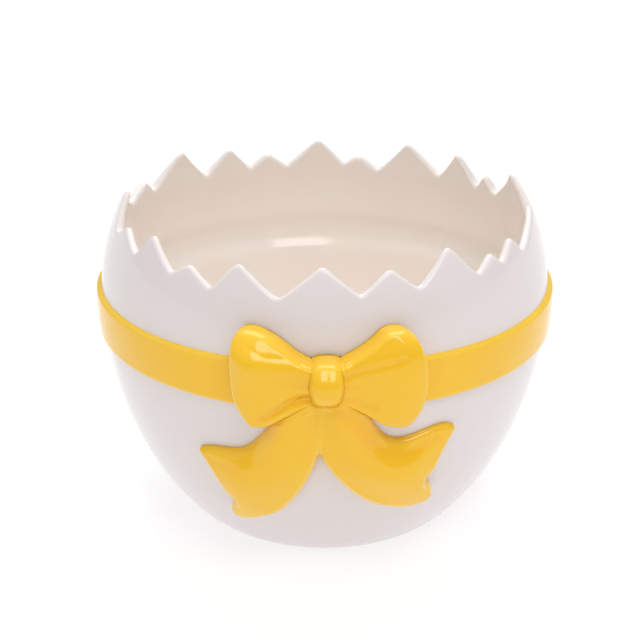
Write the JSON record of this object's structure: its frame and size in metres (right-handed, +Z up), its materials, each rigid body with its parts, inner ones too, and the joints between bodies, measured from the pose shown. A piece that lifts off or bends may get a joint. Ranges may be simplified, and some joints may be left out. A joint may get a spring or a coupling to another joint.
{
  "type": "yarn bowl",
  "caption": "Glazed ceramic yarn bowl shaped as a cracked eggshell with a zigzag rim, a raised ribbon round its belly and a relief bow on the front.",
  "frame": {"origin": "centre of the flat base that the bowl stands on", "axes": "+Z up along the egg's axis, -Y towards the bow on the front, +X to the right of someone who faces the bow"},
  "size_m": [0.154, 0.1632, 0.1125],
  "materials": {
    "shell_glaze": "gloss",
    "ribbon_glaze": "gloss"
  },
  "bodies": {
    "root": {"egg_shell": "shell_glaze", "ribbon_band": "ribbon_glaze", "bow_loop_left": "ribbon_glaze", "bow_loop_right": "ribbon_glaze", "bow_knot": "ribbon_glaze", "bow_tail_left": "ribbon_glaze", "bow_tail_right": "ribbon_glaze"}
  },
  "joints": []
}
